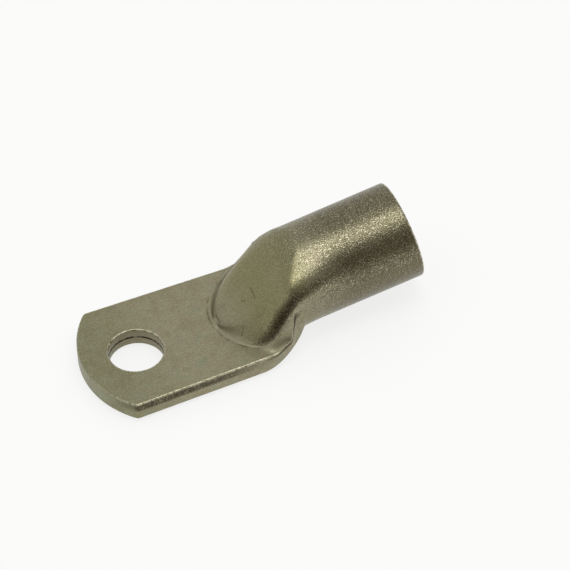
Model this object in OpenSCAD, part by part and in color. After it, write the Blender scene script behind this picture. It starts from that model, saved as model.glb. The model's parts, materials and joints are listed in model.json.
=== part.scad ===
// Tubular cable lug, pressed from one piece of copper tube and tinned.
//
// The origin is the centre of the bolt hole, on the palm's contact face.
// +X runs along the lug towards the mouth of the barrel, +Y across it, +Z up the bolt's axis.
// Millimetres throughout.

/* [Tube] */
// Outer diameter of the tube that the lug is pressed from
barrel_od = 23.6; // [22:0.1:25]
// Inner diameter of the tube, which is the wire bore
barrel_id = 19; // [17:0.1:19.5]
// Upward tilt of the barrel from the palm, in degrees
barrel_tilt = 5.8; // [0:0.1:8]
// Height of the tube's axis over the contact face, where the nose ends
axis_height = 10.7; // [9:0.1:12]
// Length of the barrel that stays fully round, up to the mouth
barrel_len = 24.2; // [18:0.1:34]
// Bevel on the edges of the barrel's mouth
lip_bevel = 0.5; // [0.2:0.1:0.8]

/* [Palm] */
// Thickness of the flattened tube
palm_t = 4.7; // [4.2:0.1:5.2]
// Width of the palm at the bolt hole
palm_w = 32.4; // [29:0.1:33]
// Narrowing of each side towards the barrel, in mm for each mm of length
palm_taper = 0.016; // [0:0.001:0.03]
// Reach of the palm's tip ahead of the bolt hole
tip_reach = 13.2; // [11:0.1:16]
// Radius of the curved tip
tip_r = 23.4; // [18:0.1:40]
// Rounding where the tip meets the palm's sides
corner_r = 1.6; // [1:0.1:3]
// Diameter of the bolt hole
bolt_d = 13; // [8.4:0.1:15]
// Bevel on the palm's top edges and on the bolt hole's
edge_bevel = 0.35; // [0.2:0.05:0.6]

/* [Press] */
// Where the nose starts to rise from the palm
nose_x = 20; // [18:0.5:24]
// Radius of the half circle that the die leaves round the nose
imprint_r = 13; // [11:0.1:13.5]
// Where the tube is fully round again
round_x = 44.5; // [42:0.5:48]
// Width of the concave blend at the foot of the nose
toe = 1.6; // [0.8:0.1:2.5]

/* [Hidden] */

$fn = 96;
over = 1;                                 // how far a cutting solid runs past what it cuts
lap = 0.6;                                // how far the pressed part reaches into its neighbours
tuck = 0.03;                              // how far it stays inside their skin there

barrel_r = barrel_od / 2;
bore_r = barrel_id / 2;
wall = barrel_r - bore_r;
imprint_x = nose_x + imprint_r;           // centre of the half circle

function mix(a, b, w) = a * (1 - w) + b * w;
function clamp(u) = min(max(u, 0), 1);
function ease(u) = let (c = clamp(u)) c * c * (3 - 2 * c);
function ramp(x, from, to) = ease((x - from) / (to - from));

// Height of the tube's axis over the contact face, at a place along the lug
function axis_z(x) = axis_height + (x - imprint_x) * tan(barrel_tilt);

// Half the palm's width
function palm_half(x) = palm_w / 2 - x * palm_taper;

// ---------------------------------------------------------------- lofting
// A section is half of an outline across the lug at one x, as [y, z] points from its top to its
// bottom. It is mirrored to the other side without its two points on the middle line.
function full_section(half) =
    concat(half, [for (i = [len(half) - 2 : -1 : 1]) [-half[i][0], half[i][1]]]);

// Towards the barrel the sections lean back, until they are square to the tube's axis
lean_from = 30;
lean_to = 42;
function lean(x) = barrel_tilt * ramp(x, lean_from, lean_to);
function in_space(x, section) = [for (p = section) let (v = p[1] - axis_z(x))
    [x - v * sin(lean(x)), p[0], axis_z(x) + v * cos(lean(x))]];

// A closed solid through rings of points, all with the same number of points. Each end is closed
// by triangles round the middle of its ring.
function middle(ring) = [for (p = ring) 1] * ring / len(ring);
module loft(rings) {
    n = len(rings[0]);
    last = len(rings) - 1;
    start = (last + 1) * n;
    polyhedron(
        points = concat([for (ring = rings) each ring], [middle(rings[0]), middle(rings[last])]),
        faces = [for (i = [0 : n - 1]) let (j = (i + 1) % n)
            each concat(
                [[start, j, i]],
                [for (k = [0 : last - 1]) let (here = k * n, next = here + n)
                    each [[here + i, next + j, next + i], [here + i, here + j, next + j]]],
                [[last * n + i, last * n + j, start + 1]])],
        convexity = 6);
}

// ---------------------------------------------------------------- the pressed part
// Between the palm and the barrel the tube is drawn down by a die with a round nose. Half a
// section has these stretches, each with its own count of points:
crown_n = 9;                              // the arch over the top
toe_n = 4;                                // the concave blend at its foot
flange_n = 2;                             // the flat strip out to the crease
side_n = 3;                               // the folded side of the tube
under_n = 7;                              // the underside

// Where the same stretches end on the round tube, in degrees above its widest line
crown_end = 38;
toe_end = 20;
crease_end = 12;
side_end = -18;

// The skin of the palm and of the tube, drawn in a little where it runs into them
function tucked(x) = tuck * (1 - ramp(x, nose_x, nose_x + 1));
function skin_half(x) = palm_half(x) - tucked(x);
function skin_top(x) = palm_t - tucked(x);
function skin_r(x) = barrel_r - tuck * ramp(x, round_x - 1, round_x);

// The crown climbs a ramp from the palm until it meets the round tube. The two run into each other
// over some height, and over hardly any where the barrel starts.
climb = 1.65;                             // height of the ramp after its first mm
climb_power = 0.8;                        // how straight the ramp is: 1 is a flat one
function ramp_z(x) = palm_t + climb * pow(max(x - nose_x, 0), climb_power);
function run_in(x) = mix(7, 0.4, ramp(x, 37, round_x));
function soft_min(a, b, over_height) =
    let (near = max(over_height - abs(a - b), 0)) min(a, b) - near * near / (4 * over_height);
function crown_rise(x) = soft_min(ramp_z(x), axis_z(x) + barrel_r, run_in(x)) - palm_t;

// Half the width of the nose at the foot of its arch: a half circle, then straight
least_half = 2.2;
function nose_half(x) =
    let (d = max(imprint_x - x, 0))
    max(sqrt(max(imprint_r * imprint_r - d * d, 0)), least_half);

// How far the belly hangs below the palm's contact face
function belly_z(x) = mix(tucked(x), axis_z(x) - barrel_r, ramp(x, 24, 36));

// How far each stretch has turned into the round tube. The valley at the foot of the nose climbs
// early. The fold at the side turns up late and sharply, and leaves a crease there.
function round_crown(x) = ramp(x, 28, 37);
function round_toe(x) = ramp(x, 26, 38);
function round_side(x) = mix(ramp(x, 28.5, 34), ramp(x, 33.2, 35.8), 0.75);
function round_under(x) = pow(clamp((x - 25.5) / 12.8), 2);

// The arch is a superellipse, so wide that its last tangent meets the foot of the nose
arch_power = 3.6;                         // 2 is an ellipse, and more is squarer
arch_sweep = 62;                          // degrees of it that are left above the toe
function arch_point(x, angle) =
    let (half = (nose_half(x) - toe / 2) * pow(sin(arch_sweep), 2 - 2 / arch_power))
    [half * pow(sin(angle), 2 / arch_power), skin_top(x) + crown_rise(x) * pow(cos(angle), 2 / arch_power)];

function bezier(p, q, r, u) = p * (1 - u) * (1 - u) + q * 2 * u * (1 - u) + r * u * u;
function toe_point(x, u) =
    bezier(arch_point(x, arch_sweep),
           [nose_half(x) - toe / 2, skin_top(x)],
           [nose_half(x) + toe / 2, skin_top(x)], u);
function flange_point(x, u) = [mix(nose_half(x) + toe / 2, skin_half(x) - edge_bevel, u), skin_top(x)];
function side_point(x, u) = [skin_half(x), mix(palm_t - edge_bevel, tucked(x), u)];
function under_point(x, u) = [skin_half(x) * (1 - u), mix(tucked(x), belly_z(x), u)];

// Each entry of a stretch is [the pressed point, how far it has turned into the round tube]
function stretches(x) = concat(
    [for (i = [0 : crown_n - 1]) let (u = i / crown_n) [arch_point(x, arch_sweep * u), round_crown(x)]],
    [for (i = [0 : toe_n - 1]) let (u = i / toe_n) [toe_point(x, u), mix(round_crown(x), round_toe(x), u)]],
    [for (i = [0 : flange_n]) let (u = i / flange_n)
        [flange_point(x, u), mix(round_toe(x), round_side(x), u)]],
    [for (i = [0 : side_n - 1]) let (u = i / side_n)
        [side_point(x, u), mix(round_side(x), round_under(x), u)]],
    [for (i = [0 : under_n]) [under_point(x, i / under_n), round_under(x)]]);

// The angles of the same points on the round tube, which the hollow inside shares
round_angles = concat(
    [for (i = [0 : crown_n - 1]) mix(90, crown_end, i / crown_n)],
    [for (i = [0 : toe_n - 1]) mix(crown_end, toe_end, i / toe_n)],
    [for (i = [0 : flange_n]) mix(toe_end, crease_end, i / flange_n)],
    [for (i = [0 : side_n - 1]) mix(crease_end - 2, side_end, i / side_n)],
    [for (i = [0 : under_n]) mix(side_end, -90, i / under_n)]);

function tube_point(r, x, angle) = [r * cos(angle), axis_z(x) + r * sin(angle)];

// The tube that the skin turns into is cut by the ramp, and a little wider there
widening = 0.6;                           // of half its width
function cut_tube_point(x, angle) = let (whole = tube_point(skin_r(x), x, angle)) [
    whole[0] * (1 + widening / barrel_r * (1 - ramp(x, 34, 43))),
    soft_min(whole[1], ramp_z(x), run_in(x))];

function skin_section(x) = let (pressed = stretches(x)) [for (i = [0 : len(pressed) - 1])
    mix(pressed[i][0], cut_tube_point(x, round_angles[i]), pressed[i][1])];

// The sections stand at even steps round the front of the half circle, then at even steps in x
nose_steps = 9;
nose_sweep = 67.5;
body_steps = 20;
nose_end = imprint_x - imprint_r * cos(nose_sweep);
skin_stations = concat(
    [nose_x - lap],
    [for (i = [0 : nose_steps - 1]) imprint_x - imprint_r * cos(nose_sweep * i / nose_steps)],
    [for (i = [0 : body_steps]) mix(nose_end, round_x + lap, i / body_steps)]);

// Inside, past the round bore, the hollow sinks and flattens under the nose, down to a closed slit
// between the palm's two layers. A section is two half ellipses on one middle line, and towards the
// barrel it is the bore, cut a wall's thickness under the crown.
hollow_x = nose_x + 1.8;                  // where the slit closes
slit = 0.15;                              // half its height there
hollow_steps = 13;
hollow_tuck = 0.1;                        // more than its flats cut off the bore's curve

function crown_slope(x) = (crown_rise(x + 0.1) - crown_rise(x - 0.1)) / 0.2;
function hollow_mid(x) = mix(palm_t / 2, axis_z(x), ramp(x, 25, 38));
function hollow_top(x) = palm_t + crown_rise(x) - wall * sqrt(1 + pow(crown_slope(x), 2));
function hollow_cap(x) = hollow_top(x) + wall * ramp(x, 40, round_x);
function hollow_floor(x) = mix(palm_t / 2, belly_z(x) + wall, ramp(x, 22, 32));
function hollow_half(x) = mix(nose_half(x) - wall, bore_r, ramp(x, 27, 36));
function hollow_r(x) = bore_r + hollow_tuck * ramp(x, round_x - 1, round_x);

function hollow_section(x) = [for (angle = round_angles)
    let (up = max(hollow_top(x) - hollow_mid(x), slit),
         down = max(hollow_mid(x) - hollow_floor(x), slit),
         flat = [hollow_half(x) * cos(angle), hollow_mid(x) + (angle > 0 ? up : down) * sin(angle)],
         whole = tube_point(hollow_r(x), x, angle))
    mix(flat, [whole[0], soft_min(whole[1], hollow_cap(x), run_in(x))], ramp(x, 32, 42))];

hollow_stations = [for (i = [0 : hollow_steps]) mix(round_x + lap, hollow_x, i / hollow_steps)];

// The skin runs from the palm to the barrel, turns in across the end of the wall, and comes back
// along the hollow, so the formed tube is one closed loft.
module formed_tube() {
    loft(concat(
        [for (x = skin_stations) in_space(x, full_section(skin_section(x)))],
        [for (x = hollow_stations) in_space(x, full_section(hollow_section(x)))]));
}

// ---------------------------------------------------------------- the palm
tip_x = tip_r - tip_reach;                // centre of the curved tip
corner_x = -7;                            // about where the tip meets the sides
corner_y = palm_half(corner_x) - corner_r;
corner = [tip_x - sqrt(pow(tip_r - corner_r, 2) - pow(corner_y, 2)), corner_y];
tip_sweep = atan2(corner_y, tip_x - corner[0]);
tip_steps = 10;
corner_steps = 4;

function arc(centre, r, from, to, steps) =
    [for (i = [0 : steps]) let (a = mix(from, to, i / steps)) centre + r * [cos(a), sin(a)]];

// Half of the palm's outline, from the middle of the tip round to where the nose starts, drawn in
// by a bevel's width
function palm_edge(bevel) = concat(
    arc([tip_x, 0], tip_r - bevel, 180, 180 - tip_sweep, tip_steps),
    arc(corner, corner_r - bevel, 180 - tip_sweep, 90, corner_steps),
    [[nose_x, palm_half(nose_x) - bevel]]);

function palm_ring(bevel, z) = let (half = palm_edge(bevel)) concat(
    [for (p = half) [p[0], p[1], z]],
    [for (i = [len(half) - 1 : -1 : 1]) [half[i][0], -half[i][1], z]]);

module palm() {
    difference() {
        loft([palm_ring(0, 0), palm_ring(0, palm_t - edge_bevel), palm_ring(edge_bevel, palm_t)]);
        bolt_hole();
    }
}

module bolt_hole() {
    translate([0, 0, -over]) cylinder(d = bolt_d, h = palm_t + 2 * over);
    translate([0, 0, palm_t - edge_bevel - over])
        cylinder(r1 = bolt_d / 2 - over, r2 = bolt_d / 2 + edge_bevel + over, h = edge_bevel + 2 * over);
}

// ---------------------------------------------------------------- the round barrel
// It starts where the tube is fully round, and is turned about its own axis
module barrel() {
    translate([round_x, 0, axis_z(round_x)]) rotate([0, 90 - barrel_tilt, 0]) rotate_extrude()
        polygon([[bore_r, 0], [barrel_r, 0],
                 [barrel_r, barrel_len - lip_bevel], [barrel_r - lip_bevel, barrel_len],
                 [bore_r + lip_bevel, barrel_len], [bore_r, barrel_len - lip_bevel]]);
}

module lug_body() {
    color("darkkhaki") union() {
        palm();
        formed_tube();
        barrel();
    }
}

lug_body();
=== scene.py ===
"""A tubular copper cable lug, tinned, lying on a pale studio floor.

The lug's skin is one closed mesh. It is made of rings of points across the lug from the nose to
the barrel's mouth and back along the hollow inside, and of rays round the bolt hole on the palm.
Lengths are in millimetres up to the point where the mesh is made, which is in metres.
"""

import json
import math
from typing import NamedTuple

import bmesh
import bpy
import numpy as np
from bpy.props import FloatProperty, FloatVectorProperty, PointerProperty
from mathutils import Matrix, Vector, noise


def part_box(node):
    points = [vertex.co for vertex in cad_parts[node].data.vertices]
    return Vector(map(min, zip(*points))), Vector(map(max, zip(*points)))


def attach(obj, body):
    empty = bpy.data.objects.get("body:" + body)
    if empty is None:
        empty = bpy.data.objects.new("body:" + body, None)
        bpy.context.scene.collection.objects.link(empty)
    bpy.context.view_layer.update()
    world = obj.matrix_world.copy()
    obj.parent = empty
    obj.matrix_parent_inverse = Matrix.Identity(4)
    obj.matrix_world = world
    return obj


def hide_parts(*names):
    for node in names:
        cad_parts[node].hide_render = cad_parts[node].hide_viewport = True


bl_info = {
    "name": "Copper cable lug",
    "version": (1, 0, 0),
    "blender": (4, 5, 0),
    "location": "3D View > Sidebar > Lug",
    "description": "Makes a tinned copper cable lug and the studio round it",
    "category": "Add Mesh",
}

MM = 0.001

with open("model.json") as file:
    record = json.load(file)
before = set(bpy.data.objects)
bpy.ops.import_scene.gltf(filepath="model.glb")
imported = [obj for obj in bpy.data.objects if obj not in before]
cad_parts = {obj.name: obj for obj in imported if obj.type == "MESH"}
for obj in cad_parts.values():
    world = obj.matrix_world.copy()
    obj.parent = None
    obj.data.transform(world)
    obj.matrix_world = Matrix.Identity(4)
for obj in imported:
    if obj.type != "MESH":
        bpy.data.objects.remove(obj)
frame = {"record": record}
MOUNTS = {mount["name"]: mount for mount in frame["record"]["mounts"]}
CAD_LOW, CAD_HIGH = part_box("lug_body")


def mount_radius(name):
    """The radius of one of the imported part's round mounts, in metres."""
    return MOUNTS[name]["dims"]["r_mm"] * MM


def mount_tilt(name):
    """How steeply a mount's axis climbs from the palm's plane, in radians."""
    x, _, z = MOUNTS[name]["axis"]
    return math.atan2(z, x)


# ---------------------------------------------------------------- settings


def length(name, description, default):
    """A length property in metres."""
    return FloatProperty(name=name, description=description, default=default,
                         min=0, precision=5, unit="LENGTH", subtype="DISTANCE")


def linear(hex_colour):
    """An sRGB hex colour as linear red, green, blue."""
    parts = [int(hex_colour[i:i + 2], 16) / 255 for i in (1, 3, 5)]
    return tuple(p / 12.92 if p <= 0.04045 else ((p + 0.055) / 1.055) ** 2.4 for p in parts)


def colour(name, description, hex_colour):
    """A colour property with an sRGB hex colour as its default."""
    return FloatVectorProperty(name=name, description=description, default=linear(hex_colour),
                               size=3, min=0, max=1, subtype="COLOR")


class LugSizes(bpy.types.PropertyGroup):
    """The lug's main sizes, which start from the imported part."""

    barrel_radius: length("Barrel radius", "Outer radius of the tube", mount_radius("barrel_outside"))
    bore_radius: length("Bore radius", "Radius of the wire bore", mount_radius("wire_bore"))
    bolt_radius: length("Bolt hole radius", "Radius of the hole in the palm", mount_radius("bolt_hole"))
    palm_thickness: length("Palm thickness", "Thickness of the flattened tube",
                           MOUNTS["bolt_seat"]["pos_m"][2])
    tip_reach: length("Tip reach", "Reach of the palm's tip ahead of the bolt hole", -CAD_LOW[0])
    tip_radius: length("Tip radius", "Radius of the curved tip", 0.0234)
    corner_radius: length("Corner radius", "Rounding between the tip and the sides", 0.0016)
    edge_rounding: length("Edge rounding", "Rounding of the palm's upper edges", 0.00035)
    lip_rounding: length("Lip rounding", "Rounding of the barrel's mouth", 0.0005)
    imprint_radius: length("Imprint radius", "Radius of the half circle round the nose", 0.013)
    barrel_tilt: FloatProperty(name="Barrel tilt", description="Climb of the barrel from the palm",
                               default=mount_tilt("wire_bore"), min=0, max=0.3, unit="ROTATION")


class LugFinish(bpy.types.PropertyGroup):
    """The colours of the tin, of what has settled on it, and of the shade and highlight painted on it.
    """

    tin: colour("Tin", "Dull tin as it leaves the plating barrel", "#9D967D")
    tin_tip: colour("Tin at the tip", "The greener tin near the tip", "#8C8A6E")
    green: colour("Green bloom", "Faint grey-green patches on the palm", "#8B9078")
    olive: colour("Olive bloom", "Thin olive bloom where the die rubbed the tin", "#8A8664")
    tarnish: colour("Tarnish", "Brown oxide, most of it on the barrel", "#706A54")
    pit: colour("Pits", "The small dark pits in the plating", "#3E3628")
    # This colour is dirt in the grooves and the torn edges, and painted shade together with dirt in the
    # valley and under the fold.
    grime_and_shade: colour("Grime", "Dirt in the valley, the grooves and the torn edges", "#3A3022")
    # This colour is crystals of tin, and rubbed tin with a painted highlight along the edges.
    bright: colour("Rubbed tin", "Crystals of tin, and tin rubbed bright along the edges", "#DAD6BC")
    roughness: FloatProperty(name="Roughness", description="Roughness of the tin",
                             default=0.42, min=0, max=1, subtype="FACTOR")
    grain: length("Grain", "Size of the grains in the plating", 0.00028)


class LugStage(bpy.types.PropertyGroup):
    """The studio round the lug."""

    floor: colour("Floor", "Colour of the floor", "#F7F7F5")
    sky: colour("Surroundings", "Colour of the studio's pale walls", "#E4E4E2")
    shade: colour("Shaded side", "Colour of the studio's unlit side", "#8A867D")
    azimuth: FloatProperty(name="Camera azimuth", description="Turn of the camera round the lug",
                           default=math.radians(-20.0), unit="ROTATION")
    elevation: FloatProperty(name="Camera elevation", description="Height of the camera as an angle",
                             default=math.radians(46.8), unit="ROTATION")
    roll: FloatProperty(name="Camera roll", description="Turn of the camera about its own view",
                        default=math.radians(4.4), unit="ROTATION")
    lens: FloatProperty(name="Lens", description="Focal length, long for a flat perspective",
                        default=1000.0, min=1, unit="CAMERA")
    view_width: length("View width", "Width of the view at the lug", 0.1333)


# ---------------------------------------------------------------- the form of the lug


def mix(a, b, w):
    """From a to b, as w goes from 0 to 1."""
    return a * (1 - w) + b * w


def ease(u):
    """0 to 1 with a soft start and a soft end."""
    u = np.clip(u, 0, 1)
    return u * u * (3 - 2 * u)


def ramp(x, start, end):
    """0 before the start, 1 past the end, and eased between them."""
    return ease((x - start) / (end - start))


def bezier(p, q, r, u):
    """The curve from p to r that q pulls towards itself."""
    return p * (1 - u) ** 2 + q * 2 * u * (1 - u) + r * u ** 2


def points(*columns):
    """Columns of numbers as an array of points."""
    return np.stack(np.broadcast_arrays(*[np.asarray(c, float) for c in columns]), axis=-1)


def both(half):
    """Values along half a section as values round the whole of it."""
    return np.concatenate([half, half[-2:0:-1]])


def turn(angle, radius=1.0):
    """Points on a circle, at angles in degrees."""
    return points(radius * np.cos(np.radians(angle)), radius * np.sin(np.radians(angle)))


# Intervals on each stretch of half a section, from the top of the lug down to its underside
CROWN, TOE, FLANGE, EDGE, SIDE = 28, 8, 10, 3, 12
TOP = CROWN + TOE + FLANGE              # intervals from the middle line to the rounded edge
RIM = EDGE + SIDE + EDGE                # intervals down the side, both rounded edges included

# Where each stretch ends on the round tube, in degrees above its widest line
ROUND_CROWN, ROUND_TOE, ROUND_FLANGE = 38, 20, 12
ROUND_EDGE, ROUND_SIDE, ROUND_FOOT = 10.5, -18, -19.5

# Rings ahead of the nose, round its front, up its ramp, on the barrel, on the lip and in the hollow
AHEAD_RINGS, FRONT_RINGS, RAMP_RINGS, BARREL_RINGS, LIP_RINGS, HOLLOW_RINGS = 9, 40, 50, 26, 5, 60

# Points on the palm's outline, and on each ray between the outline and the bolt hole
STRAIGHT, CORNER, TIP = 50, 10, 36
SPOKE = 22

# What each point of the mesh says about the surface there; edge also marks a painted highlight, and
# valley painted shade with dirt
MARKS = ("barrel", "nose", "edge", "sheared", "valley")


def even(n, start=0, squeeze=1.0):
    """Steps from start to n as shares of n. A squeeze above 1 crowds them towards the end."""
    return 1 - (1 - np.arange(start, n + 1) / n) ** squeeze


def crowded(n, start=0):
    """Steps from start to n as shares of n, crowded towards both ends."""
    return ease(np.arange(start, n + 1) / n)


ROUND_ANGLES = np.concatenate([
    mix(90, ROUND_CROWN, even(CROWN)[:-1]),
    mix(ROUND_CROWN, ROUND_TOE, even(TOE)[:-1]),
    mix(ROUND_TOE, ROUND_FLANGE, even(FLANGE)),
    mix(ROUND_FLANGE, ROUND_EDGE, even(EDGE, 1)),
    mix(ROUND_EDGE, ROUND_SIDE, even(SIDE, 1)),
    mix(ROUND_SIDE, ROUND_FOOT, even(EDGE, 1)),
    mix(ROUND_FOOT, -90, even(TOP, 1)),
])


class Side(NamedTuple):
    """How one side of the lug came out of the press."""

    crease: float                       # how much earlier than usual it turns up
    softness: float                     # of the ramp's upper edge
    bulge: float                        # of the shoulder behind it
    lift: float                         # of the ramp's edge towards that shoulder
    taper: float                        # narrowing of the palm, per mm of length


# The lug's two sides: the far one has y above 0, the near one below
FAR = Side(crease=0.2, softness=8.0, bulge=0.0, lift=0.0, taper=0.030)
NEAR = Side(crease=0.0, softness=3.0, bulge=1.5, lift=1.6, taper=0.016)


# The valley beside the nose and under the barrel's shoulder, darkened with painted shade and dirt, at
# places along the lug: its middle as an angle on the section, its spread to either side in degrees, and
# how deep its painted shade and dirt are
VALLEY_X = (22.0, 25.0, 28.0, 31.5, 35.0, 38.0, 41.5, 45.0, 50.0, 58.0)
VALLEY_ANGLE = (22.0, 23.5, 26.5, 28.0, 27.5, 27.0, 28.5, 31.0, 35.0, 36.0)
VALLEY_SPREAD = (1.5, 3.0, 5.0, 6.5, 6.5, 6.5, 7.0, 8.0, 10.0, 12.0)
VALLEY_DEPTH = (-1.0, 0.2, 0.9, 1.4, 1.4, 1.1, 0.7, 0.35, -0.1, -0.8)

# The dark line under the fold where the palm's edge turns up into the barrel: painted shade, with dirt
CREASE_X = (22.0, 27.0, 31.0, 35.0, 38.5)
CREASE_DEPTH = (-1.0, 0.5, 1.3, 1.4, -1.0)
CREASE_STEP = TOP + EDGE + 2            # which step round the section it lies on
CREASE_SPREAD = 1.7                     # steps to either side
CLEAR_OF_DIRT_AND_SHADE = -3                              # the depth where there is no dirt and no painted shade

# Scratches, as x and y of both ends
SCRATCHES = ((29.0, -1.5, 28.7, -5.2), (54.1, 1.5, 53.9, -1.2), (24.5, -7.0, 23.6, -7.8),
             (26.2, -2.3, 26.8, -3.5), (20.8, 1.1, 20.7, -1.8))


class LugForm:
    """The outside and the hollow of the lug, as points in millimetres."""

    # The palm
    corner_x = -7.0                     # about where the tip meets the sides
    foot_rounding = 0.25                # of the lower edges
    seam_depth = 0.12                   # of the line between the two layers, in the bolt hole
    seam_half = 0.15                    # half the height of that line

    # The pressed nose
    join_x = 17.6                       # where the rings take over from the palm's rays
    nose_x = 20.0                       # where it starts to rise
    toe = 1.6                           # width of the concave blend round its foot
    toe_ahead = 0.8                     # softness of the same blend at its front
    climb = 1.65                        # height of the ramp after its first mm
    climb_power = 0.8                   # how straight the ramp is: 1 is a flat one
    softness = 5.0                      # of the ramp's upper edge, on the middle line
    round_softness = 0.4                # the same where the tube is fully round
    least_half = 2.2                    # half its width at its very front
    arch_power = 3.6                    # how square its section is: 2 is a round one
    arch_sweep = 62.0                   # where the arch ends and the blend round the foot begins
    front_sweep = 67.5                  # of the half circle round it that the front rings follow

    # The barrel
    round_x = 44.5                      # where the tube is fully round
    axis_height = 10.7                  # of the tube's axis over the contact face, at imprint_x
    widening = 0.6                      # of the tube where the ramp cuts it
    shoulder = 32                       # middle of its bulge, in degrees above the widest line
    shoulder_spread = 2.6               # how narrow the bulge is: 1 spans half a circle
    skew_x = 48                         # where the skew towards the mouth starts
    mouth_skew = 0.3                    # cut off the far side of the mouth and added to the near one
    slit = 0.15                         # half the hollow's height where it closes

    # From where to where along the lug its parts pass from pressed flat to round
    crown_turns = (28, 37)
    toe_turns = (26, 38)
    slow_fold = (28.5, 34)              # a quarter of the upper edge's turn
    sharp_fold = (33.2, 35.8)           # and the rest of it
    ramp_edge_lifts = (27, 33)
    ramp_edge_sharpens = 36             # from here to round_x
    belly_lifts = (24, 36)
    under_turns = 25.5                  # where the underside starts to turn,
    under_length = 12.8                 # and over what length
    shoulder_swells = (28, 34)
    shoulder_fades = (51, 38)
    widening_fades = (34, 43)
    sections_lean = (30, 42)
    hollow_turns = (32, 42)
    hollow_rises = (25, 38)
    hollow_widens = (27, 36)
    hollow_floor_sinks = (22, 32)

    def __init__(self, sizes):
        self.barrel_r = sizes.barrel_radius / MM
        self.bore_r = sizes.bore_radius / MM
        self.bolt_r = sizes.bolt_radius / MM
        self.palm_t = sizes.palm_thickness / MM
        self.tip_reach = sizes.tip_reach / MM
        self.tip_r = sizes.tip_radius / MM
        self.corner_r = sizes.corner_radius / MM
        self.edge = sizes.edge_rounding / MM
        self.lip = sizes.lip_rounding / MM
        self.imprint_r = sizes.imprint_radius / MM
        self.tilt = sizes.barrel_tilt
        self.wall = self.barrel_r - self.bore_r
        self.imprint_x = self.nose_x + self.imprint_r
        self.hollow_x = self.nose_x + 1.8   # where the hollow closes
        self.widest = CAD_HIGH[1] / MM
        bore = MOUNTS["wire_bore"]
        half_bore = bore["dims"]["length_mm"] / 2
        self.mouth_x = bore["pos_m"][0] / MM + (half_bore + self.lip) * math.cos(self.tilt)

    # -- lines along the lug

    def axis_z(self, x):
        """Height of the tube's axis."""
        return self.axis_height + (x - self.imprint_x) * math.tan(self.tilt)

    def palm_half(self, x, side):
        """Half the palm's width, which narrows a little towards the barrel."""
        return self.widest - (x - self.corner_x) * side.taper

    def lean(self, x):
        """How far a section leans back, from upright on the palm to square to the tube."""
        return self.tilt * ramp(x, *self.sections_lean)

    def ramp_z(self, x):
        """The ramp that the crown climbs from the palm up to the tube, with a soft start."""
        ahead = x - self.nose_x
        soft = max(self.toe_ahead - abs(ahead), 0) ** 2 / (4 * self.toe_ahead)
        return self.palm_t + self.climb * (max(ahead, 0) + soft) ** self.climb_power

    def soft_min(self, a, b, x, softness):
        """The lower of two heights, run into each other, and less so where the barrel starts."""
        over = mix(softness, self.round_softness, ramp(x, self.ramp_edge_sharpens, self.round_x))
        near = np.maximum(over - abs(a - b), 0)
        return np.minimum(a, b) - near ** 2 / (4 * over)

    def crown_rise(self, x):
        """Height of the middle line over the palm: the ramp, and then the top of the tube."""
        top = self.soft_min(self.ramp_z(x), self.axis_z(x) + self.barrel_r, x, self.softness)
        return top - self.palm_t

    def nose_half(self, x):
        """Half the width of the nose, whose front is a half circle."""
        behind = max(self.imprint_x - x, 0)
        return max(math.sqrt(max(self.imprint_r ** 2 - behind ** 2, 0)), self.least_half)

    def belly_z(self, x):
        """Height of the underside's middle line."""
        return mix(0, self.axis_z(x) - self.barrel_r, ramp(x, *self.belly_lifts))

    # -- half a section of the skin, as [across, up] from the top to the underside

    def arch(self, x, angle):
        """The nose's squarish arch, at angles in degrees from its crown."""
        spread = math.sin(math.radians(self.arch_sweep)) ** (2 - 2 / self.arch_power)
        half = (self.nose_half(x) - self.toe / 2) * spread
        angle = np.radians(angle)
        return points(half * np.sin(angle) ** (2 / self.arch_power),
                      self.palm_t + self.crown_rise(x) * np.cos(angle) ** (2 / self.arch_power))

    def rim(self):
        """The rounded edges and the side between them, as [inset, up]."""
        upper, lower = self.edge, self.foot_rounding
        top = mix(90, 0, even(EDGE, 1))
        foot = mix(0, -90, even(EDGE, 1))
        return np.concatenate([
            [upper, self.palm_t - upper] + turn(top, upper) * [-1, 1],
            points(0, mix(self.palm_t - upper, lower, crowded(SIDE, 1))),
            [lower, lower] + turn(foot, lower) * [-1, 1],
        ])

    def half_section(self, x, side):
        """The pressed section and the round one, each part mixed as far as it has turned."""
        half, top, foot = self.palm_half(x, side), self.palm_t, self.foot_rounding
        nose, blend = self.nose_half(x), self.toe / 2
        pressed = np.concatenate([
            self.arch(x, self.arch_sweep * even(CROWN)[:-1]),
            bezier(self.arch(x, self.arch_sweep), np.array([nose - blend, top]),
                   np.array([nose + blend, top]), even(TOE)[:-1, None]),
            points(mix(nose + blend, half - self.edge, even(FLANGE, squeeze=2)), top),
            [half, 0] + self.rim() * [-1, 1],
            points(mix(half - foot, 0, even(TOP, 1)), mix(0, self.belly_z(x), even(TOP, 1))),
        ])
        crown = ramp(x, *self.crown_turns)
        toe = ramp(x, *self.toe_turns)
        ahead = x + side.crease
        fold = mix(ramp(ahead, *self.slow_fold), ramp(ahead, *self.sharp_fold), 0.75)
        under = np.clip((x - self.under_turns) / self.under_length, 0, 1) ** 2
        turned = np.concatenate([
            np.full(CROWN, crown),
            mix(crown, toe, even(TOE)[:-1]),
            mix(toe, fold, even(FLANGE, squeeze=4)),
            np.full(EDGE, fold),
            mix(fold, under, even(SIDE, 1)),
            np.full(EDGE + TOP, under),
        ])[:, None]
        return mix(pressed, self.cut_tube(x, side), turned)

    def tube(self, x, radius):
        """The plain round tube, or its bore."""
        return turn(ROUND_ANGLES, radius) + [0, self.axis_z(x)]

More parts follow.
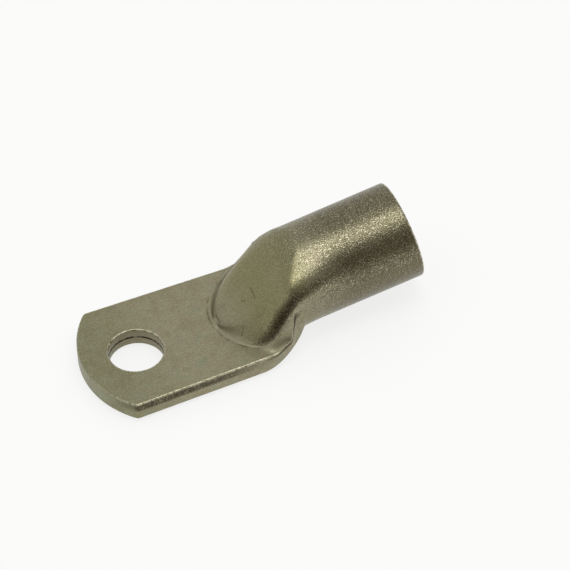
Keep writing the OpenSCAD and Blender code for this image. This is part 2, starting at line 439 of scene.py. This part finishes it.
    def cut_tube(self, x, side):
        """The tube that the skin turns into: cut by the ramp, and a little wider there."""
        off = np.radians(np.clip((ROUND_ANGLES - self.shoulder) * self.shoulder_spread, -90, 90))
        swell = ramp(x, *self.shoulder_swells) * ramp(x, *self.shoulder_fades)
        whole = turn(ROUND_ANGLES, self.barrel_r + side.bulge * swell * np.cos(off) ** 2)
        wider = 1 + self.widening / self.barrel_r * (1 - ramp(x, *self.widening_fades))
        softness = mix(self.softness, side.softness, ramp(ROUND_ANGLES, 90, 45))
        lift = side.lift * ramp(x, *self.ramp_edge_lifts) * ramp(ROUND_ANGLES, 86, 50)
        return points(whole[:, 0] * wider,
                      self.soft_min(whole[:, 1] + self.axis_z(x), self.ramp_z(x) + lift, x, softness))

    def half_hollow(self, x):
        """The hollow inside, from the slit where it closes to the round bore."""
        slope = (self.crown_rise(x + 0.1) - self.crown_rise(x - 0.1)) / 0.2
        top = self.palm_t + self.crown_rise(x) - self.wall * math.hypot(1, slope)
        middle = mix(self.palm_t / 2, self.axis_z(x), ramp(x, *self.hollow_rises))
        floor = mix(self.palm_t / 2, self.belly_z(x) + self.wall,
                    ramp(x, *self.hollow_floor_sinks))
        half = mix(self.nose_half(x) - self.wall, self.bore_r, ramp(x, *self.hollow_widens))
        across, up = turn(ROUND_ANGLES).T
        height = np.where(up > 0, max(top - middle, self.slit), max(middle - floor, self.slit))
        flat = points(half * across, middle + height * up)
        whole = self.tube(x, self.bore_r)
        cap = top + self.wall * ramp(x, 40, self.round_x)
        cut = points(whole[:, 0], self.soft_min(whole[:, 1], cap, x, self.softness))
        return mix(flat, cut, ramp(x, *self.hollow_turns))

    # -- what the surface has on it, for the material

    def rubbed_and_highlit_edge(self, x):
        """1 on the palm's upper edge, which fades into the barrel, and 0 round the rest of a ring. It
        marks rubbed tin and a painted highlight along the edge.
        """
        step = np.arange(len(ROUND_ANGLES))
        return both((step >= TOP) & (step <= TOP + EDGE)) * ramp(x, 38, 33)

    def sheared(self, x):
        """1 on the palm's sheared side, and 0 round the rest of a ring."""
        step = np.arange(len(ROUND_ANGLES))
        return both((step > TOP) & (step <= TOP + RIM)) * ramp(x, 34, 28)

    def valley(self, x):
        """How deep in painted shade and dirt the points of a ring lie: 0 at its border, and more
        inside.
        """
        middle = np.interp(x, VALLEY_X, VALLEY_ANGLE)
        spread = np.interp(x, VALLEY_X, VALLEY_SPREAD)
        valley = np.interp(x, VALLEY_X, VALLEY_DEPTH) - ((ROUND_ANGLES - middle) / spread) ** 2
        off_crease = (np.arange(len(ROUND_ANGLES)) - CREASE_STEP) / CREASE_SPREAD
        crease = np.interp(x, CREASE_X, CREASE_DEPTH) - off_crease ** 2
        return both(np.maximum(np.maximum(valley, crease), CLEAR_OF_DIRT_AND_SHADE))

    def nose(self, ring):
        """1 on the face of the nose, and 0 elsewhere."""
        x, y, up = ring.T
        across = ramp(y, -13, -11) * ramp(y, 9.5, 6)
        along = ramp(x, self.nose_x, 30)
        return across * along * ramp(x, 44, 38) * ramp(up, self.palm_t, self.palm_t + 1)

    # -- rings in space

    def ring(self, x, far, near):
        """Both halves of a section, joined and leant back square to the tube."""
        section = np.concatenate([far, near[-2:0:-1] * [-1, 1]])
        across, up = section[:, 0], section[:, 1] - self.axis_z(x)
        lean = self.lean(x)
        askew = across + (self.barrel_r + up) / 3
        cut = self.mouth_skew * ramp(x, self.skew_x, self.mouth_x) * askew / self.barrel_r
        return points(x - up * math.sin(lean) - cut, across, self.axis_z(x) + up * math.cos(lean))

    def skin_ring(self, x):
        return self.ring(x, self.half_section(x, FAR), self.half_section(x, NEAR))

    def hollow_ring(self, x):
        half = self.half_hollow(x)
        return self.ring(x, half, half)

    def tube_ring(self, x, radius):
        half = self.tube(x, radius)
        return self.ring(x, half, half)

    def rings(self):
        """The skin from the palm to the mouth, the mouth's rounded lip, and the hollow back down."""
        sweep = np.radians(np.linspace(0, self.front_sweep, FRONT_RINGS))
        front = self.imprint_x - self.imprint_r * np.cos(sweep)
        ahead = np.linspace(self.join_x, front[0], AHEAD_RINGS)[:-1]
        pressed = np.linspace(front[-1], self.round_x, RAMP_RINGS)[1:]
        lip_x = self.lip * math.cos(self.tilt)
        barrel = np.linspace(self.round_x, self.mouth_x - lip_x, BARREL_RINGS)[1:]
        along = np.concatenate([ahead, front, pressed, barrel])
        skin = [(self.skin_ring(x), {"valley": self.valley(x), "edge": self.rubbed_and_highlit_edge(x),
                                     "sheared": self.sheared(x)}) for x in along]
        bends = np.linspace(0, math.pi / 2, LIP_RINGS)
        lip = [self.tube_ring(self.mouth_x - lip_x * (1 - math.sin(bend)),
                              radius + inset * (1 - math.cos(bend)))
               for radius, inset, turned in ((self.barrel_r, -self.lip, bends[1:]),
                                             (self.bore_r, self.lip, bends[::-1]))
               for bend in turned]
        inside = np.linspace(self.mouth_x - lip_x, self.hollow_x, HOLLOW_RINGS)[1:]
        return skin, lip, [self.hollow_ring(x) for x in inside]

    # -- the palm's outline

    def outline(self, side):
        """From the ring at join_x along one side and round to the middle of the tip, as points
        and outward normals."""
        centre_x = self.tip_r - self.tip_reach
        corner_y = self.palm_half(self.corner_x, side) - self.corner_r
        corner_x = centre_x - math.sqrt((self.tip_r - self.corner_r) ** 2 - corner_y ** 2)
        sweep = math.degrees(math.atan2(corner_y, centre_x - corner_x))
        xs = np.linspace(self.join_x, corner_x, STRAIGHT)
        straight = points(xs, self.palm_half(xs, side))
        corner = turn(mix(90, 180 - sweep, even(CORNER, 1)))
        tip = turn(mix(180 - sweep, 180, even(TIP, 1)))
        return (np.concatenate([straight, [corner_x, corner_y] + corner * self.corner_r,
                                [centre_x, 0] + tip * self.tip_r]),
                np.concatenate([points(np.zeros(len(xs)), 1), corner, tip]))

    def hole_wall(self):
        """Down the bolt hole's wall, as [radius, up], with the line between the two layers."""
        middle, seam = self.palm_t / 2, self.seam_half
        bend = np.radians(mix(0, 90, even(EDGE + 1)))
        upper = points(self.bolt_r + self.edge * (1 - np.sin(bend)),
                       self.palm_t - self.edge * (1 - np.cos(bend)))
        lower = points(self.bolt_r + self.foot_rounding * (1 - np.cos(bend)),
                       self.foot_rounding * (1 - np.sin(bend)))
        wall = np.array([[0, middle + 4 * seam], [0, middle + seam], [self.seam_depth, middle],
                         [0, middle - seam], [0, middle - 4 * seam]]) + [self.bolt_r, 0]
        return np.concatenate([upper, wall, lower])


# ---------------------------------------------------------------- the mesh


class MeshMaker:
    """Collects rows of points with a few attributes, and quads between the rows."""

    def __init__(self):
        self.rows = []
        self.marks = []
        self.quads = []
        self.count = 0

    def row(self, row, **marks):
        """Add a row of points, and return their numbers."""
        self.rows.append(row)
        self.marks.append({name: np.broadcast_to(value, len(row)) for name, value in marks.items()})
        numbers = np.arange(self.count, self.count + len(row))
        self.count += len(row)
        return numbers

    def strip(self, a, b, closed=False):
        """Quads between two rows of numbers."""
        a, b = (np.append(a, a[0]), np.append(b, b[0])) if closed else (a, b)
        self.quads.append(np.stack([a[:-1], a[1:], b[1:], b[:-1]], axis=1))

    def build(self, name):
        """The mesh in metres, with doubled points merged and its faces turned outwards."""
        mesh = bpy.data.meshes.new(name)
        everything = np.concatenate(self.rows) * MM
        mesh.from_pydata(everything.tolist(), [], np.concatenate(self.quads).tolist())
        for mark in MARKS:
            values = np.concatenate([marks.get(mark, np.zeros(len(row)))
                                     for marks, row in zip(self.marks, self.rows)])
            attribute = mesh.attributes.new(mark, "FLOAT", "POINT")
            attribute.data.foreach_set("value", values.astype(np.float32))
        edit = bmesh.new()
        edit.from_mesh(mesh)
        bmesh.ops.remove_doubles(edit, verts=edit.verts, dist=0.002 * MM)
        bmesh.ops.holes_fill(edit, edges=[e for e in edit.edges if e.is_boundary])
        bmesh.ops.recalc_face_normals(edit, faces=edit.faces)
        edit.to_mesh(mesh)
        edit.free()
        mesh.shade_smooth()
        return mesh


def add_tube(maker, form):
    """The nose, the barrel and the hollow inside, ring by ring."""
    skin, lip, hollow = form.rings()
    numbers = []
    for ring, marks in skin:
        barrel = ramp(ring[:, 0], 31, 45)
        numbers.append(maker.row(ring, barrel=barrel, nose=form.nose(ring), **marks))
    for ring in lip:
        # The mouth's rounded lip is marked for rubbed tin with a painted highlight.
        numbers.append(maker.row(ring, barrel=1, edge=1, valley=CLEAR_OF_DIRT_AND_SHADE))
    for ring in hollow:
        numbers.append(maker.row(ring, barrel=1, valley=CLEAR_OF_DIRT_AND_SHADE))
    for a, b in zip(numbers, numbers[1:]):
        maker.strip(a, b, closed=True)


def add_palm(maker, form):
    """The palm, as rays from the bolt hole's wall out to its edge, over it and under it."""
    spokes = crowded(SPOKE)[:, None]
    rim = np.concatenate([[[form.edge, form.palm_t]], form.rim()])
    wall = form.hole_wall()

    def ray(upper, lower, side):
        """One row over the palm, down the hole's wall and back under the palm, and one down the
        palm's side where there is one."""
        towards = upper / np.linalg.norm(upper)
        spread = np.concatenate([mix(upper, towards * wall[0, 0], spokes[:-1]),
                                 wall[:, :1] * towards,
                                 mix(towards * wall[-1, 0], lower, spokes[1:])])
        height = np.concatenate([np.full(len(spokes) - 1, form.palm_t), wall[:, 1],
                                 np.zeros(len(spokes) - 1)])
        # The hole's upper rounded edge is marked for rubbed tin with a painted highlight.
        edge = np.zeros(len(height))
        edge[len(spokes) - 1:len(spokes) + EDGE] = 1
        row = maker.row(points(spread[:, 0], spread[:, 1], height), edge=edge, valley=CLEAR_OF_DIRT_AND_SHADE)
        if side is None:
            return row, None
        place, normal = side
        inward = place - normal * rim[:, :1]
        sheared = np.full(len(rim), abs(normal[1]))
        # The palm's upper rounded edge: rubbed tin with a painted highlight, fading where the outline
        # turns towards the tip.
        edge = np.where(np.arange(len(rim)) <= EDGE, sheared, 0)
        down = maker.row(points(inward[:, 0], inward[:, 1], rim[:, 1]), edge=edge, sheared=sheared,
                         valley=CLEAR_OF_DIRT_AND_SHADE)
        return row, down

    def half(side, flip):
        """The ends of one side's rays, from the ring at join_x round to the tip."""
        joined = form.half_section(form.join_x, side)[:, 0]
        inner = [(points(form.join_x, a * flip), points(form.join_x, b * flip), None)
                 for a, b in zip(joined[:TOP], joined[::-1])]
        turned = np.array([1, flip])
        outline, normals = form.outline(side)
        outer = [(p - n * form.edge, p - n * form.foot_rounding, (p, n))
                 for p, n in zip(outline * turned, normals * turned)]
        return inner + outer

    rays = [ray(*r) for r in half(FAR, 1) + half(NEAR, -1)[-2:0:-1]]
    for (row, side), (next_row, next_side) in zip(rays, rays[1:] + rays[:1]):
        maker.strip(row, next_row)
        if side is not None and next_side is not None:
            maker.strip(side, next_side)


def read(data, name, width):
    """One property of every element, as rows of this width."""
    values = np.empty(len(data) * width, np.float32)
    data.foreach_get(name, values)
    return values.reshape(-1, width)


def unevenness(mesh, depth, size):
    """Presses the mesh in by a soft noise, as tumbling does. It only goes inwards."""
    places, normals = read(mesh.vertices, "co", 3), read(mesh.vertices, "normal", 3)
    dents = np.array([0.5 + 0.5 * noise.noise(Vector(place) / size) for place in places])
    places -= normals * (dents * depth)[:, None]
    mesh.vertices.foreach_set("co", places.ravel())
    mesh.update()


# ---------------------------------------------------------------- materials


def node(tree, kind, sockets=None, out=0, **settings):
    """Adds a shader node of this kind, and gives one of its output sockets. Its settings are
    attributes, and each of its sockets takes a value or another node's output socket."""
    made = tree.nodes.new("ShaderNode" + kind)
    for name, value in settings.items():
        setattr(made, name, value)
    for name, value in (sockets or {}).items():
        if isinstance(value, bpy.types.NodeSocket):
            tree.links.new(value, made.inputs[name])
        else:
            made.inputs[name].default_value = value
    return made.outputs[out] if made.outputs else None


SMOOTH = {"interpolation_type": "SMOOTHSTEP"}


class Spot(NamedTuple):
    """Sockets that say where a spot of the surface lies on the lug, in millimetres."""

    place: bpy.types.NodeSocket
    x: bpy.types.NodeSocket
    y: bpy.types.NodeSocket
    z: bpy.types.NodeSocket


def die_line(tree, spot, patches, form):
    """The line that the die leaves round the foot of the nose, faint and broken."""
    ahead = node(tree, "Math", {0: spot.x, 1: form.imprint_x}, operation="SUBTRACT")
    ahead = node(tree, "Math", {0: ahead, 1: 0.0}, operation="MINIMUM")
    from_centre = node(tree, "CombineXYZ", {0: ahead, 1: spot.y})
    from_centre = node(tree, "VectorMath", {0: from_centre}, out="Value", operation="LENGTH")
    off_line = node(tree, "Math", {0: from_centre, 1: form.imprint_r + 0.75}, operation="SUBTRACT")
    off_line = node(tree, "Math", {0: off_line}, operation="ABSOLUTE")
    line = node(tree, "MapRange", {"Value": off_line, "From Min": 0.30, "From Max": 0.05}, **SMOOTH)
    level = node(tree, "Math", {0: spot.z, 1: form.palm_t, 2: 0.3}, operation="COMPARE")
    pressed = node(tree, "MapRange", {"Value": patches, "From Min": 0.42, "From Max": 0.60}, **SMOOTH)
    for share in (level, pressed):
        line = node(tree, "Math", {0: line, 1: share}, operation="MULTIPLY")
    return line


def scratches(tree, spot, form):
    """The scratches, each from one place on the lug to another."""
    scratched = None
    for x0, y0, x1, y1 in SCRATCHES:
        along = node(tree, "MapRange", {"Value": spot.y, "From Min": y0, "From Max": y1,
                                        "To Min": x0, "To Max": x1})
        off = node(tree, "Math", {0: spot.x, 1: along}, operation="SUBTRACT")
        off = node(tree, "Math", {0: off}, operation="ABSOLUTE")
        cut = node(tree, "MapRange", {"Value": off, "From Min": 0.16, "From Max": 0.04}, **SMOOTH)
        middle, half = (y0 + y1) / 2, abs(y1 - y0) / 2
        inside = node(tree, "Math", {0: spot.y, 1: middle, 2: half}, operation="COMPARE")
        above = node(tree, "Math", {0: spot.z, 1: form.palm_t + 0.5}, operation="GREATER_THAN")
        for share in (inside, above):
            cut = node(tree, "Math", {0: cut, 1: share}, operation="MULTIPLY")
        if scratched is not None:
            cut = node(tree, "Math", {0: scratched, 1: cut}, operation="MAXIMUM")
        scratched = cut
    return scratched


def torn_side(tree, spot, sheared):
    """The torn upper half of the palm's sheared side, fading towards the nose."""
    on_side = node(tree, "MapRange", {"Value": sheared, "From Min": 0.4, "From Max": 0.9}, **SMOOTH)
    faded = node(tree, "MapRange", {"Value": spot.x, "From Min": 32.0, "From Max": 12.0}, **SMOOTH)
    lower = node(tree, "MapRange", {"Value": spot.z, "From Min": 2.0, "From Max": 2.9}, **SMOOTH)
    upper = node(tree, "MapRange", {"Value": spot.z, "From Min": 4.45, "From Max": 4.15}, **SMOOTH)
    hatch = node(tree, "Mapping", {"Vector": spot.place, "Rotation": (0, 0.5, 0),
                                   "Scale": (2.2, 2.2, 1.1)})
    hatching = node(tree, "TexNoise", {"Vector": hatch, "Scale": 1.0, "Detail": 4.0,
                                       "Roughness": 0.7})
    tear = node(tree, "MapRange", {"Value": hatching, "From Min": 0.26, "From Max": 0.56}, **SMOOTH)
    for share in (on_side, faded, lower, upper):
        tear = node(tree, "Math", {0: tear, 1: share}, operation="MULTIPLY")
    return tear


def in_bolt_hole(tree, spot, form):
    """1 on the bolt hole's wall, and 0 elsewhere."""
    radial = node(tree, "CombineXYZ", {0: spot.x, 1: spot.y})
    radial = node(tree, "VectorMath", {0: radial}, out="Value", operation="LENGTH")
    return node(tree, "MapRange", {"Value": radial, "From Min": form.bolt_r + 0.3,
                                   "From Max": form.bolt_r + 0.2}, **SMOOTH)


def layer_seam(tree, spot, in_hole, coarse, form):
    """The broken line between the two layers in the bolt hole."""
    off_seam = node(tree, "Math", {0: spot.z, 1: form.palm_t / 2}, operation="SUBTRACT")
    off_seam = node(tree, "Math", {0: off_seam}, operation="ABSOLUTE")
    seam = node(tree, "MapRange", {"Value": off_seam, "From Min": 0.38, "From Max": 0.12}, **SMOOTH)
    broken = node(tree, "MapRange", {"Value": coarse, "From Min": 0.35, "From Max": 0.50}, **SMOOTH)
    for share in (in_hole, broken):
        seam = node(tree, "Math", {0: seam, 1: share}, operation="MULTIPLY")
    return seam


def tinned_copper(finish, form):
    """Matt tin on pressed copper, plated in a tumbling barrel.

    The eye gets a dull, yellowish grey metal with a soft broad gleam. The palm is nearly even, the
    nose is more olive where the die rubbed it, and the barrel is browner, darker towards the mouth, and
    full of fine grains that break up its gleam. Dirt stays in the torn side of the palm and between the
    two layers in the bolt hole. In the valley beside the nose, under the barrel's shoulder and under
    the fold lie painted shade and dirt, and the rubbed edges carry a painted highlight.
    """
    material = bpy.data.materials.new("tinned_copper")
    material.use_nodes = True
    tree = material.node_tree
    tree.nodes.clear()
    rgb = {name: (*getattr(finish, name), 1) for name in (
        "tin", "tin_tip", "green", "olive", "tarnish", "pit", "grime_and_shade", "bright")}

    # places on the lug, and what the mesh says about them
    place = node(tree, "TexCoord", out="Object")
    place = node(tree, "VectorMath", {0: place, "Scale": 1 / MM}, operation="SCALE")
    spot = Spot(place, *[node(tree, "SeparateXYZ", {0: place}, out=axis) for axis in "XYZ"])
    barrel, nose, edge, sheared, valley = [
        node(tree, "Attribute", out="Fac", attribute_name=mark) for mark in MARKS]

    # noises, with blobs of one grain, of 0.8 mm and of 4 mm, and strokes slanting over the palm
    grain = node(tree, "TexNoise", {"Vector": place, "Scale": MM / finish.grain, "Detail": 1.0})
    coarse = node(tree, "TexNoise", {"Vector": place, "Scale": 1 / 0.8, "Detail": 3.0,
                                     "Roughness": 0.6})
    patches = node(tree, "TexNoise", {"Vector": place, "Scale": 1 / 4.0, "Detail": 5.0,
                                      "Roughness": 0.6})
    stroke = node(tree, "Mapping", {"Vector": place, "Rotation": (0, 0, 0.5),
                                    "Scale": (0.5, 3.0, 1.0)})
    strokes = node(tree, "TexNoise", {"Vector": stroke, "Scale": 1.0, "Detail": 3.0})

    # the tin, and how much of each colour comes over it: greener towards the tip, faint brown and
    # green patches, very faint strokes, the olive face of the nose, and the brown barrel behind it,
    # browner and darker towards the mouth
    to_tip = node(tree, "MapRange", {"Value": spot.x, "From Min": 9.0, "From Max": -9.0}, **SMOOTH)
    patchy = node(tree, "MapRange", {"Value": patches, "From Min": 0.42, "From Max": 0.66,
                                     "To Max": 0.28}, **SMOOTH)
    greenish = node(tree, "MapRange", {"Value": patches, "From Min": 0.50, "From Max": 0.34,
                                       "To Max": 0.60}, **SMOOTH)
    brushed = node(tree, "MapRange", {"Value": strokes, "From Min": 0.46, "From Max": 0.66,
                                      "To Max": 0.45}, **SMOOTH)
    browned = node(tree, "MapRange", {"Value": spot.x, "From Min": 38.0, "From Max": 60.0,
                                      "To Min": 0.45, "To Max": 1.3}, **SMOOTH)
    browned = node(tree, "Math", {0: barrel, 1: browned}, operation="MULTIPLY")

    # grains of the plating: dark pits and bright crystals, strong on the barrel, weak elsewhere
    axis = node(tree, "Math", {0: spot.x, 1: math.tan(form.tilt), 2: form.axis_z(0)},
                operation="MULTIPLY_ADD")
    over_axis = node(tree, "Math", {0: spot.z, 1: axis}, operation="SUBTRACT")
    grainy = node(tree, "MapRange", {"Value": over_axis, "From Min": -4.0, "From Max": 5.0,
                                     "To Min": 0.35}, **SMOOTH)
    grainy = node(tree, "Math", {0: grainy, 1: barrel}, operation="MULTIPLY")
    strength = node(tree, "Math", {0: grainy, 1: 0.32, 2: 0.16}, operation="MULTIPLY_ADD")
    pits = node(tree, "MapRange", {"Value": grain, "From Min": 0.50, "From Max": 0.66}, **SMOOTH)
    pits = node(tree, "Math", {0: pits, 1: strength}, operation="MULTIPLY")
    crystals = node(tree, "MapRange", {"Value": grain, "From Min": 0.46, "From Max": 0.30}, **SMOOTH)
    crystals = node(tree, "Math", {0: crystals, 1: strength}, operation="MULTIPLY")

    # the wall of the bolt hole, darker and browner, and edges rubbed bright with a painted highlight on
    # them
    in_hole = in_bolt_hole(tree, spot, form)
    drilled = node(tree, "Math", {0: in_hole, 1: 0.5}, operation="MULTIPLY")
    # Rubbed tin with a painted highlight, on the edges that the mesh marks.
    rubbed = node(tree, "MapRange", {"Value": coarse, "From Min": 0.38, "From Max": 0.58,
                                     "To Max": 0.6}, **SMOOTH)
    rubbed = node(tree, "Math", {0: rubbed, 1: edge}, operation="MULTIPLY")

    # dirt in the tear, the scratches and the seam, and with a ragged speckled border painted shade and
    # dirt in the valley and under the fold
    tear = torn_side(tree, spot, sheared)
    scratched = node(tree, "Math", {0: die_line(tree, spot, patches, form),
                                    1: scratches(tree, spot, form)}, operation="MAXIMUM")
    seam = layer_seam(tree, spot, in_hole, coarse, form)
    ragged = node(tree, "Math", {0: grain, 1: 2.0, 2: -1.0}, operation="MULTIPLY_ADD")
    ragged = node(tree, "Math", {0: valley, 1: ragged}, operation="ADD")
    # Painted shade and dirt in the valley and under the fold.
    soiled_and_shaded = node(tree, "MapRange", {"Value": ragged, "From Min": -0.5, "From Max": 1.4,
                                     "To Max": 0.95})
    faint = node(tree, "Math", {0: scratched, 1: 0.45}, operation="MULTIPLY")
    dirt_and_shade = node(tree, "Math", {0: tear, 1: 0.74}, operation="MULTIPLY")
    for other in (faint, seam, soiled_and_shaded):
        dirt_and_shade = node(tree, "Math", {0: dirt_and_shade, 1: other}, operation="MAXIMUM")

    # one colour over another, in the order in which they lie on the metal
    base = rgb["tin"]
    for share, name in ((to_tip, "tin_tip"), (patchy, "tarnish"), (greenish, "green"),
                        (brushed, "olive"), (nose, "olive"), (browned, "tarnish"), (pits, "pit"),
                        (crystals, "bright"), (drilled, "tarnish"), (rubbed, "bright"),
                        (dirt_and_shade, "grime_and_shade")):
        base = node(tree, "Mix", {0: share, 6: base, 7: rgb[name]}, out=2, data_type="RGBA")

    # rougher from grain to grain and where dirt and painted shade lie, smoother on the tumbled barrel
    rough = node(tree, "Math", {0: grain, 1: 0.18, 2: finish.roughness - 0.09},
                 operation="MULTIPLY_ADD")
    rough = node(tree, "Math", {0: barrel, 1: -0.09, 2: rough}, operation="MULTIPLY_ADD")
    rough = node(tree, "Math", {0: dirt_and_shade, 1: 0.3, 2: rough}, operation="MULTIPLY_ADD", use_clamp=True)

    # heights in millimetres
    bumpy = node(tree, "Math", {0: grainy, 1: 0.045, 2: 0.018}, operation="MULTIPLY_ADD")
    height = node(tree, "Math", {0: grain, 1: bumpy}, operation="MULTIPLY")
    for share, rise in ((coarse, 0.03), (scratched, -0.04), (tear, -0.08)):
        height = node(tree, "Math", {0: share, 1: rise, 2: height}, operation="MULTIPLY_ADD")
    normal = node(tree, "Bump", {"Height": height, "Strength": 1.0, "Distance": MM})

    shader = node(tree, "BsdfPrincipled", {"Base Color": base, "Metallic": 1.0, "Roughness": rough,
                                           "Normal": normal})
    node(tree, "OutputMaterial", {"Surface": shader})
    return material


def floor_paint(stage):
    """Matt white paint on a board: it shows as plain white and takes a soft shadow."""
    material = bpy.data.materials.new("floor_paint")
    material.use_nodes = True
    tree = material.node_tree
    tree.nodes.clear()
    seen = node(tree, "LightPath", out="Is Camera Ray")
    for ray in ("Is Glossy Ray", "Is Transmission Ray"):
        seen = node(tree, "Math", {0: seen, 1: node(tree, "LightPath", out=ray)}, operation="MAXIMUM")
    share = node(tree, "Math", {0: seen, 1: 0.8}, operation="MULTIPLY")
    paint = node(tree, "BsdfDiffuse", {"Color": (*stage.floor, 1)})
    white = node(tree, "Emission", {"Color": (1, 1, 1, 1), "Strength": 1.0})
    mixed = node(tree, "MixShader", {0: share, 1: paint, 2: white})
    node(tree, "OutputMaterial", {"Surface": mixed})
    return material


# ---------------------------------------------------------------- operators


def linked(name, data):
    """A new object in the scene's own collection."""
    made = bpy.data.objects.new(name, data)
    bpy.context.scene.collection.objects.link(made)
    return made


class LUG_OT_body(bpy.types.Operator):
    """Make the lug: palm, nose, barrel and hollow as one skin"""

    bl_idname = "lug.body"
    bl_label = "Lug"

    def execute(self, context):
        form = LugForm(context.scene.lug_sizes)
        maker = MeshMaker()
        add_tube(maker, form)
        add_palm(maker, form)
        mesh = maker.build("lug")
        unevenness(mesh, depth=0.03 * MM, size=5 * MM)
        mesh.materials.append(tinned_copper(context.scene.lug_finish, form))
        lug = linked("lug", mesh)
        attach(lug, "root")
        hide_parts("lug_body")
        return {"FINISHED"}


class LUG_OT_stage(bpy.types.Operator):
    """Make the floor, the studio's light and the camera"""

    bl_idname = "lug.stage"
    bl_label = "Studio"

    floor_half = 2.0                    # half the floor's width, in metres
    lamp_size = 0.34                    # metres across
    lamp_energy = 0.9                   # watts
    lamp_distance = 0.6                 # metres
    lamp_side = (0.12, -0.16, 0.98)     # where it hangs, seen from the lug
    shade_side = (-0.1, -0.9, 0.42)     # where the studio is unlit
    aim_across = 0.03485                # from the bolt hole to the middle of the view, in metres
    aim_above = 0.01528

    def execute(self, context):
        stage = context.scene.lug_stage
        self.add_floor(stage)
        self.add_lamp()
        self.add_walls(context, stage)
        self.add_camera(context, stage)
        context.scene.view_settings.view_transform = "Standard"
        return {"FINISHED"}

    def add_floor(self, stage):
        """A board under the lug, level with its lowest point."""
        mesh = bpy.data.meshes.new("floor")
        half = self.floor_half
        corners = [(-half, -half), (half, -half), (half, half), (-half, half)]
        mesh.from_pydata([(x, y, CAD_LOW[2]) for x, y in corners], [], [range(4)])
        mesh.materials.append(floor_paint(stage))
        linked("floor", mesh)

    def add_lamp(self):
        """One soft lamp overhead."""
        lamp = bpy.data.lights.new("overhead", "AREA")
        lamp.shape = "DISK"
        lamp.size = self.lamp_size
        lamp.energy = self.lamp_energy
        holder = linked("overhead", lamp)
        centre = (Vector(CAD_LOW) + Vector(CAD_HIGH)) / 2
        aim = Vector(self.lamp_side).normalized()
        holder.location = centre + aim * self.lamp_distance
        holder.rotation_mode = "QUATERNION"
        holder.rotation_quaternion = aim.to_track_quat("Z", "Y")

    def add_walls(self, context, stage):
        """The studio's pale walls, which are darker on one side."""
        world = bpy.data.worlds.new("studio")
        world.use_nodes = True
        tree = world.node_tree
        tree.nodes.clear()
        direction = node(tree, "TexCoord", out="Generated")
        unlit = Vector(self.shade_side).normalized()
        facing = node(tree, "VectorMath", {0: direction, 1: unlit}, out="Value",
                      operation="DOT_PRODUCT")
        share = node(tree, "MapRange", {"Value": facing, "From Min": 0.6, "From Max": 0.95}, **SMOOTH)
        walls = node(tree, "Mix", {0: share, 6: (*stage.sky, 1), 7: (*stage.shade, 1)}, out=2,
                     data_type="RGBA")
        back = node(tree, "Background", {"Color": walls, "Strength": 1.0})
        node(tree, "OutputWorld", {"Surface": back})
        context.scene.world = world

    def add_camera(self, context, stage):
        """A camera that looks down on the lug from far off, through a long lens."""
        azimuth, elevation, roll = stage.azimuth, stage.elevation, stage.roll
        right = Vector((math.cos(azimuth), math.sin(azimuth), 0))
        up = Vector((-math.sin(azimuth) * math.sin(elevation),
                     math.cos(azimuth) * math.sin(elevation), math.cos(elevation)))
        back = right.cross(up)
        across = right * math.cos(roll) - up * math.sin(roll)
        above = right * math.sin(roll) + up * math.cos(roll)
        hole_top = Vector((0, 0, MOUNTS["bolt_seat"]["pos_m"][2]))
        centre = hole_top + across * self.aim_across + above * self.aim_above
        camera = bpy.data.cameras.new("camera")
        camera.lens = stage.lens
        distance = stage.view_width * camera.lens / camera.sensor_width
        camera.clip_start = distance / 10
        camera.clip_end = distance * 10
        holder = linked("camera", camera)
        turned = Matrix((across, above, back)).transposed().to_4x4()
        holder.matrix_world = Matrix.Translation(centre + back * distance) @ turned
        context.scene.camera = holder


class LUG_PT_panel(bpy.types.Panel):
    """The lug's settings and the buttons that make it"""

    bl_idname = "LUG_PT_panel"
    bl_label = "Cable lug"
    bl_space_type = "VIEW_3D"
    bl_region_type = "UI"
    bl_category = "Lug"

    def draw(self, context):
        scene = context.scene
        for group, operator in ((scene.lug_sizes, LUG_OT_body), (scene.lug_finish, None),
                                (scene.lug_stage, LUG_OT_stage)):
            box = self.layout.box()
            for name in group.__annotations__:
                box.prop(group, name)
            if operator:
                box.operator(operator.bl_idname)


CLASSES = (LugSizes, LugFinish, LugStage, LUG_OT_body, LUG_OT_stage, LUG_PT_panel)


def register():
    for made in CLASSES:
        bpy.utils.register_class(made)
    bpy.types.Scene.lug_sizes = PointerProperty(type=LugSizes)
    bpy.types.Scene.lug_finish = PointerProperty(type=LugFinish)
    bpy.types.Scene.lug_stage = PointerProperty(type=LugStage)


def unregister():
    del bpy.types.Scene.lug_stage
    del bpy.types.Scene.lug_finish
    del bpy.types.Scene.lug_sizes
    for made in reversed(CLASSES):
        bpy.utils.unregister_class(made)


def main():
    """Makes everything."""
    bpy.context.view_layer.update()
    register()
    bpy.ops.lug.body()
    bpy.ops.lug.stage()


if __name__ == "__main__":
    main()
